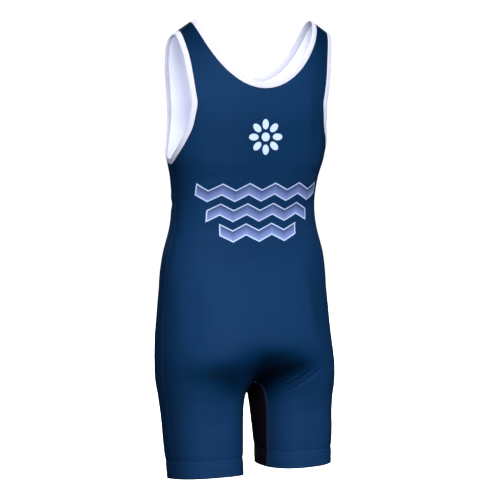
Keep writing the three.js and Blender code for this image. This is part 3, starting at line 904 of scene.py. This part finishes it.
def gusset_seam_path(side):
    """Up one leg, over the crotch and down the other, at the back or at the front."""
    top = float(crotch_height(GUSSET_Y[side]))
    share = np.linspace(0, 1, GUSSET_SEAM_SAMPLES) ** GUSSET_SEAM_SPACING
    z = mix(HEM_HEIGHT + SEAM_START, top, share)
    up, down = (skin(leg, side * inner_angle(z, side), z) for leg in LEGS.values())
    point, normal = (np.concatenate([a, b[::-1][1:]]) for a, b in zip(up, down))
    return creased(point, normal), normal


def shoulder_path(leg):
    """Along the shoulder seam, from the neck to the armhole."""
    low, high = NECK_SHOULDER_X + SHOULDER_INSET, ARMHOLE_SHOULDER_X - SHOULDER_INSET
    x = np.linspace(low, high, SHOULDER_SAMPLES)
    point = np.stack([x * leg["side"], np.zeros_like(x), shoulder_z(x)], -1)
    return point, np.broadcast_to((0.0, 0.0, 1.0), point.shape)


def seam_threads(name, paths, material, thread=THREAD, lift=SEAM_LIFT):
    """Two rows of stitches beside each seam, with threads that cross it between them."""
    builder = Builder()
    for path, normals in paths:
        for across in (-SEAM_HALF, SEAM_HALF):
            add_stitches(builder, path, normals, False, across, thread=thread, lift=lift)
        add_crossings(builder, path, normals, False, SEAM_HALF, lift * CROSSING_SHARE,
                      thread * CROSSING_SHARE)
    return builder.make(name, [material])


def hem_threads(name, leg, material):
    builder = Builder()
    for below in HEM_ROWS:
        add_stitches(builder, *hem_loop(leg, HEM_TOP - below), True, 0.0)
    return builder.make(name, [material])


def tape_threads(name, edge, hand, materials):
    """Two rows of stitches round a binding, the threads that cross between them, and a dark
    thread where it meets the cloth, a painted shadow of the binding's edge."""
    point, normal = edge
    out = binding_frame(point, normal, hand)
    cloth_edge = creased(point, normal)
    base = cloth_edge + normal * BINDING_PROUD
    builder = Builder()
    for row in TAPE_ROWS:
        add_stitches(builder, base + out * row, normal, True, 0.0)
    low, high = TAPE_ROWS
    add_crossings(builder, base + out * (low + high) / 2, normal, True, (high - low) / 2,
                  TAPE_CROSSING_LIFT, TAPE_CROSSING)
    # Painted shadow: a dark thread where the binding meets the cloth
    add_shadow_line(builder, cloth_edge + out * SHADOW_LINE_PLACE, normal, 1)
    return builder.make(name, materials)


# --- Materials ---


class Graph:
    """A material's nodes. What a socket is given is a value of its own or another socket."""

    def __init__(self, name):
        self.material = bpy.data.materials.new(name)
        self.material.use_nodes = True
        self.tree = self.material.node_tree
        self.shader = self.tree.nodes["Principled BSDF"]

    def put(self, node, inputs):
        for key, value in inputs.items():
            if isinstance(value, bpy.types.NodeSocket):
                self.tree.links.new(value, node.inputs[key])
            else:
                node.inputs[key].default_value = value

    def surface(self, inputs):
        self.put(self.shader, inputs)

    def dye(self, colour):
        self.colour = colour
        self.surface({"Base Color": colour})

    def relief(self, height, strength, distance):
        """Adds to whatever relief the surface has."""
        inputs = {"Height": height, "Strength": strength, "Distance": distance}
        normal = self.shader.inputs["Normal"]
        if normal.is_linked:
            inputs["Normal"] = normal.links[0].from_socket
        self.surface({"Normal": self.node("ShaderNodeBump", inputs).outputs[0]})

    def node(self, kind, inputs, **settings):
        node = self.tree.nodes.new(kind)
        for key, value in settings.items():
            setattr(node, key, value)
        self.put(node, inputs)
        return node

    def math(self, operation, *values, clamp=False):
        inputs = dict(enumerate(values))
        return self.node("ShaderNodeMath", inputs, operation=operation, use_clamp=clamp).outputs[0]

    def plus(self, a, b):
        return self.math("ADD", a, b)

    def times(self, a, b, *added, clamp=False):
        return self.math("MULTIPLY_ADD" if added else "MULTIPLY", a, b, *added, clamp=clamp)

    def mix(self, factor, a, b, blend="MIX"):
        return self.node(
            "ShaderNodeMix", {"Factor": factor, "A": a, "B": b},
            data_type="RGBA", clamp_factor=True, blend_type=blend,
        ).outputs["Result"]

    def noise(self, place, scale, detail):
        inputs = {"Vector": place, "Scale": scale, "Detail": detail}
        return self.node("ShaderNodeTexNoise", inputs).outputs["Fac"]

    def uv(self):
        """The place on the cloth, whole, across and along."""
        place = self.node("ShaderNodeUVMap", {}, uv_map="cloth").outputs["UV"]
        u, v, _ = self.node("ShaderNodeSeparateXYZ", {0: place}).outputs
        return place, u, v

    def x_and_height(self):
        place = self.node("ShaderNodeTexCoord", {}).outputs["Object"]
        x, _, z = self.node("ShaderNodeSeparateXYZ", {0: place}).outputs
        return x, z


def srgb(r, g, b):
    def linear(c):
        c /= 255
        return c / 12.92 if c <= 0.04045 else ((c + 0.055) / 1.055) ** 2.4

    return (linear(r), linear(g), linear(b), 1)


# How far apart a knit's wales and courses are, and how deep its loops lie between them
JERSEY, TAPE = (1.3, 1.0, 0.1), (1.7, 1.25, 0.16)

NAVY = (13, 43, 77), (10, 37, 69)
# The deep navy and the tint that paint shade into the navy cloth
PAINTED_SHADE_NAVY = srgb(0, 8, 21)
PAINTED_SHADE_TINT = (0.25, 0.95, 1, 1)
PRINT_EDGE, PRINT_LOW, PRINT_HIGH = srgb(158, 174, 206), srgb(112, 126, 178), srgb(24, 46, 84)

# Each knit: its light and dark colours, roughness, gloss and loops
KNITS = {
    "navy_jersey": (*NAVY, 0.6, 0.02, JERSEY),
    "navy_jersey_printed": (*NAVY, 0.6, 0.02, JERSEY),
    "white_inside": ((227, 230, 244), (218, 222, 239), 0.8, 0.2, JERSEY),
    "black_jersey": ((13, 9, 16), (8, 5, 11), 0.6, 0.1, JERSEY),
    "white_tape": ((186, 187, 203), (163, 164, 184), 0.75, 0.15, TAPE),
}

# Each sewing thread: its light and dark colours
THREADS = {
    "navy_thread": ((26, 62, 104), (18, 50, 90)),
    "side_thread": ((14, 44, 80), (8, 34, 66)),
    # black_thread: seam thread whose black partly paints the shade along the shoulder top
    "black_thread": ((12, 12, 22), (5, 5, 10)),
    # Painted shadow: the dark thread where each binding meets the cloth
    "painted_shadow_thread": ((8, 22, 44), (4, 12, 28)),
    "white_thread": ((200, 201, 216), (150, 151, 172)),
    "seam_thread": ((60, 74, 112), (40, 54, 92)),
}

# Painted light: the white inside and the white tape glow, standing in for the light that comes
# through the thin white cloth
PAINTED_GLOW_COLOUR = srgb(222, 226, 243)
PAINTED_GLOWS = {"white_inside": 0.13, "white_tape": 0.05}

# How much a knit's clouds, grain and loops show in its tone, roughness and relief
CLOUD_SCALE, CLOUD_DETAIL, CLOUD_TONE = 0.05, 2.0, 0.6
GRAIN_SCALE, GRAIN_DETAIL, GRAIN_TONE = 0.9, 1.0, 0.6
GRAIN_ROUGH, GRAIN_RELIEF = 0.12, 0.5
LOOP_TONE, TONE_SHIFT, KNIT_STRENGTH = 0.16, -0.1, 0.5


def knit(name, light, dark, roughness, gloss, loops):
    """A fine jersey: wales and courses in relief, over a slightly uneven colour."""
    g = Graph(name)
    wale, course, depth = loops
    place, u, v = g.uv()
    wales = g.math("SINE", g.times(u, 2 * math.pi / wale))
    courses = g.math("SINE", g.times(v, 2 * math.pi / course))
    loops = g.times(wales, courses)
    cloud = g.noise(place, CLOUD_SCALE, CLOUD_DETAIL)
    grain = g.noise(place, GRAIN_SCALE, GRAIN_DETAIL)
    tone = g.times(loops, LOOP_TONE, g.times(grain, GRAIN_TONE))
    tone = g.plus(g.times(cloud, CLOUD_TONE, tone), TONE_SHIFT)
    g.dye(g.mix(tone, srgb(*dark), srgb(*light)))
    rough = g.times(grain, GRAIN_ROUGH, roughness - GRAIN_ROUGH / 2)
    g.surface({"Roughness": rough, "Specular IOR Level": gloss})
    g.relief(g.times(grain, GRAIN_RELIEF, loops), KNIT_STRENGTH, depth * MM)
    return g


TWIST_TURNS, TWIST_TONE, TWIST_ROUGH = 9.0, 0.35, 0.06
TWIST_STRENGTH, TWIST_DEPTH = 0.4, 0.05
THREAD_TONE, THREAD_ROUGHNESS, THREAD_GLOSS = 0.5, 0.55, 0.15


def sewing_thread(name, light, dark):
    g = Graph(name)
    _, u, v = g.uv()
    twist = g.math("SINE", g.times(g.plus(u, v), TWIST_TURNS))
    tone = g.times(twist, TWIST_TONE, THREAD_TONE)
    g.dye(g.mix(tone, srgb(*dark), srgb(*light)))
    rough = g.times(twist, TWIST_ROUGH, THREAD_ROUGHNESS)
    g.surface({"Roughness": rough, "Specular IOR Level": THREAD_GLOSS})
    g.relief(twist, TWIST_STRENGTH, TWIST_DEPTH * MM)
    return g


# The print on the back, in millimetres from the middle and along the cloth: three zigzag
# stripes, each shorter than the one above it, and a rosette of petals over them
ZIGZAG_HEIGHT, ZIGZAG_PITCH, ZIGZAG_STRIPE = -300, 28, 16.5
ZIGZAG_ROWS, ZIGZAG_TOOTH, ZIGZAG_SLOPE = 3, 19, 0.5
ZIGZAG_REACH, ZIGZAG_STEP = 57, 19
ROSETTE_HEIGHT, ROSETTE_HUB, ROSETTE_PETALS = -163, 6, 8
PETAL_PLACE, PETAL_LENGTH, PETAL_WIDTH = 17.5, 7, 4.6
OUTLINE_WIDTH = 1.7
PRINT_SOFTNESS = 0.5


def covered(g, distance):
    return g.times(distance, -1 / PRINT_SOFTNESS, 0.5, clamp=True)


def print_on(g):
    """Lays the print over the cloth's colour. Distances are below 0 inside each form."""
    _, u, v = g.uv()
    aside = g.math("ABSOLUTE", u)
    tooth = g.math("PINGPONG", aside, ZIGZAG_TOOTH)
    level = g.plus(g.times(tooth, -ZIGZAG_SLOPE, v), -ZIGZAG_HEIGHT)
    row = g.math("ROUND", g.math("DIVIDE", level, ZIGZAG_PITCH))
    row = g.math("MINIMUM", g.math("MAXIMUM", row, 0), ZIGZAG_ROWS - 1)
    level = g.times(row, -ZIGZAG_PITCH, level)
    reach = g.times(row, ZIGZAG_STEP, ZIGZAG_REACH)
    stripe = g.plus(g.math("ABSOLUTE", level), -ZIGZAG_STRIPE / 2)
    stripe = g.math("MAXIMUM", stripe, g.math("SUBTRACT", aside, reach))
    fade = g.times(level, 1 / ZIGZAG_STRIPE, 0.5, clamp=True)
    fill = g.mix(fade, PRINT_LOW, PRINT_HIGH)
    edged = g.mix(covered(g, g.plus(stripe, OUTLINE_WIDTH)), PRINT_EDGE, fill)
    colour = g.mix(covered(g, stripe), g.colour, edged)
    rise = g.plus(v, -ROSETTE_HEIGHT)
    far = g.math("SQRT", g.times(u, u, g.times(rise, rise)))
    turn = g.math("PINGPONG", g.math("ARCTAN2", rise, u), math.pi / ROSETTE_PETALS)
    out = g.plus(g.times(far, g.math("COSINE", turn)), -PETAL_PLACE)
    over = g.times(far, g.math("SINE", turn))
    out = g.times(out, PETAL_WIDTH / PETAL_LENGTH)
    petal = g.math("SQRT", g.times(out, out, g.times(over, over)))
    petal = g.plus(petal, -PETAL_WIDTH)
    rosette = g.math("MINIMUM", petal, g.plus(far, -ROSETTE_HUB))
    g.dye(g.mix(covered(g, rosette), colour, PRINT_EDGE))


# Painted shade: the colour is darkened in soft patches where shade falls, where the cloth turns
# under
# the seat and into the crotch, and on the straps, down the sides, over the upper back and the
# waist:
# x and height of each soft patch, its half width and half height, and how dark it is
BACK_PAINTED_SHADE = [
    (0, -486, 42, 23, 0.68), (71, -486, 39, 19, 0.7), (-48, -479, 28, 13, 0.5),
    (-8, -516, 16, 26, 0.64), (46, -504, 18, 16, 0.3), (-10, -462, 46, 14, 0.5),
    (-30, -491, 22, 13, 0.34), (4, -162, 110, 36, 0.26), (0, -220, 60, 50, 0.06),
    (22, -312, 90, 32, 0.1), (104, 0, 44, 56, 0.78), (-104, 0, 46, 64, 0.66),
    (-98, -120, 18, 70, 0.32), (-88, -392, 13, 66, 0.3), (104, -250, 18, 60, 0.2),
]
# Painted shade at the front of the crotch
FRONT_PAINTED_SHADE = [(0, -496, 24, 18, 0.5)]
# How much sooner the red goes than the rest of the colour in the painted shade
PAINTED_SHADE_RED_LEAD = 2

# Creases finer than the mesh, beside the seat and under the arms: x and height of both
# ends, half width and depth
BACK_FINE = [
    (-27, -503, -48, -486, 1.1, 1.0), (-35, -516, -82, -483, 1.0, 1.3),
    (-31, -508, -66, -485, 1.0, 1.1), (-36, -511, -60, -493, 0.8, 0.7),
    (46, -514, 60, -500, 1.1, 0.4), (92, -224, 78, -206, 1.1, 0.4),
]
FRONT_FINE = [
    (34, -512, 66, -492, 1.1, 0.7), (-32, -518, -72, -494, 1.1, 0.8),
    (-40, -506, -64, -490, 0.9, 0.5), (92, -226, 70, -200, 1.1, 0.5),
    (-94, -228, -76, -206, 1.1, 0.5),
]
FINE_END = 4


def fine_creases_on(g, creases):
    """Adds short sharp creases to the relief of the cloth."""
    x, z = g.x_and_height()
    total = 0.0
    for x0, z0, x1, z1, width, depth in creases:
        length = math.hypot(x1 - x0, z1 - z0)
        dx, dz = (x1 - x0) / length, (z1 - z0) / length
        run = g.times(z, dz / MM, g.times(x, dx / MM))
        run = g.plus(run, -(x0 * dx + z0 * dz) - length / 2)
        run = g.math("ABSOLUTE", g.math("DIVIDE", run, length / 2))
        off = g.times(z, dx / MM, g.times(x, -dz / MM))
        off = g.math("DIVIDE", g.plus(off, x0 * dz - z0 * dx), width)
        near = g.times(off, off, g.math("POWER", run, FINE_END))
        trough = g.math("EXPONENT", g.times(near, -1))
        total = g.times(trough, -depth, total)
    g.relief(total, 1.0, MM)


def paint_shade_on(g, painted_shades):
    """Paints shade into the colour in soft patches. The red goes first, as in a deep navy in
    shade.
    """
    x, z = g.x_and_height()
    total = 0.0
    for middle_x, middle_z, half_width, half_height, dark in painted_shades:
        a = g.times(x, 1 / MM / half_width, -middle_x / half_width)
        b = g.times(z, 1 / MM / half_height, -middle_z / half_height)
        square = g.times(a, a, g.times(b, b))
        patch = g.math("EXPONENT", g.times(square, -1))
        total = g.times(patch, dark, total, clamp=True)
    tint = g.times(total, PAINTED_SHADE_RED_LEAD, clamp=True)
    tinted = g.mix(tint, g.colour, PAINTED_SHADE_TINT, "MULTIPLY")
    g.dye(g.mix(total, tinted, PAINTED_SHADE_NAVY))


def make_materials():
    made = {name: knit(name, *values) for name, values in KNITS.items()}
    back, front = made["navy_jersey_printed"], made["navy_jersey"]
    # Painted shade on both panels; on the back it lies under the print
    paint_shade_on(back, BACK_PAINTED_SHADE)
    print_on(back)
    paint_shade_on(front, FRONT_PAINTED_SHADE)
    fine_creases_on(back, BACK_FINE)
    fine_creases_on(front, FRONT_FINE)
    # Painted light: the white cloth and tape glow
    for name, glow in PAINTED_GLOWS.items():
        made[name].surface({"Emission Color": PAINTED_GLOW_COLOUR, "Emission Strength": glow})
    made.update((name, sewing_thread(name, *values)) for name, values in THREADS.items())
    return {name: g.material for name, g in made.items()}


# --- Floor and light ---

FLOOR_HEIGHT, FLOOR_REACH = -0.80, 30
FLOOR_GREY = (0.9, 0.9, 0.9, 1)
WHITE = (1, 1, 1, 1)
STUDIO_WHITE = 1.05

# Each light: place and aim in metres, width, height and watts
LIGHTS = {
    "key": ((0.45, 2.95, 1.2), (0, 0, -0.30), 1.5, 1.2, 215),
    "back_fill": ((1.5, 2.5, 0.2), (0, 0, -0.30), 1.6, 1.8, 34),
    "front_key": ((-0.7, -2.9, 1.2), (0, 0, -0.30), 1.6, 1.4, 190),
    "left_fill": ((2.9, -0.4, 0.1), (0, 0, -0.40), 1.6, 1.8, 20),
    "right_fill": ((-2.9, 0.3, 0.4), (0, 0, -0.30), 1.6, 1.8, 12),
    "top": ((0, 0, 2.4), (0, 0, 0), 2.0, 2.0, 8),
}


def make_lights():
    for name, (place, aim, width, height, power) in LIGHTS.items():
        data = bpy.data.lights.new(name, "AREA")
        data.shape = "RECTANGLE"
        data.size, data.size_y = width, height
        data.energy = power
        lamp = bpy.data.objects.new(name, data)
        lamp.location = place
        lamp.rotation_euler = (Vector(place) - Vector(aim)).to_track_quat("Z", "Y").to_euler()
        lamp.visible_camera = False
        bpy.context.collection.objects.link(lamp)


def make_studio():
    """A white floor and world that only the camera sees, so that the lights shape the cloth."""
    mesh = bpy.data.meshes.new("floor")
    corners = [(-1, -1), (1, -1), (1, 1), (-1, 1)]
    corners = [(x * FLOOR_REACH, y * FLOOR_REACH, FLOOR_HEIGHT) for x, y in corners]
    mesh.from_pydata(corners, [], [(0, 1, 2, 3)])
    floor = bpy.data.objects.new("floor", mesh)
    g = Graph("studio_floor")
    g.surface({"Base Color": FLOOR_GREY, "Roughness": 1, "Specular IOR Level": 0,
               "Emission Color": WHITE, "Emission Strength": STUDIO_WHITE})
    mesh.materials.append(g.material)
    floor.visible_diffuse = floor.visible_glossy = False
    bpy.context.collection.objects.link(floor)
    world = bpy.data.worlds.new("studio")
    world.use_nodes = True
    background = world.node_tree.nodes["Background"].inputs
    background["Color"].default_value = WHITE
    background["Strength"].default_value = STUDIO_WHITE
    world.cycles_visibility.diffuse = world.cycles_visibility.glossy = False
    bpy.context.scene.world = world
    bpy.context.scene.view_settings.view_transform = "Standard"
    make_lights()


make_camera()
make_studio()
looks = make_materials()


# --- The pieces ---


def stands_for(piece, node):
    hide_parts(node)
    return piece


back_cloth = stands_for(
    cloth("back_cloth", lambda leg: panel_grid(leg, BACK), panel_edges,
          [looks["navy_jersey_printed"], looks["white_inside"]]),
    "back_panel",
)
front_cloth = stands_for(
    cloth("front_cloth", lambda leg: panel_grid(leg, FRONT), panel_edges,
          [looks["navy_jersey"], looks["white_inside"]]),
    "front_panel",
)
gusset_cloth = stands_for(
    cloth("gusset_cloth", gusset_grid, gusset_edges, [looks["black_jersey"]]),
    "inner_leg_gusset",
)


def sewn_trim(name, node, edge, hand):
    """A binding and its stitches."""
    trim = stands_for(binding(name, edge, hand, looks["white_tape"]), node)
    tape_looks = [looks["white_thread"], looks["painted_shadow_thread"]]
    stitches = tape_threads(f"{name}_stitches", edge, hand, tape_looks)
    return trim, stitches


neck_trim, neck_stitches = sewn_trim("neck_trim", "neck_binding", neck_edge(), 1)
for name, leg in LEGS.items():
    trim, stitches = sewn_trim(
        f"armhole_trim_{name}", f"armhole_binding_{name}", armhole_edge(leg), -leg["side"]
    )

hems = [hem_threads(f"hem_stitches_{name}", leg, looks["navy_thread"])
        for name, leg in LEGS.items()]
side_seams = seam_threads(
    "side_seam_stitches", [side_seam_path(leg) for leg in LEGS.values()], looks["side_thread"],
    thread=SIDE_THREAD, lift=SIDE_LIFT,
)
gusset_seams = seam_threads(
    "gusset_seam_stitches", [gusset_seam_path(side) for side in (BACK, FRONT)],
    looks["seam_thread"],
)
# Real seam stitches, thick and black so that they also paint the shade along the strap's top
shoulder_seams = seam_threads(
    "shoulder_seam_stitches", [shoulder_path(leg) for leg in LEGS.values()],
    looks["black_thread"], thread=SHOULDER_THREAD, lift=SHOULDER_LIFT,
)
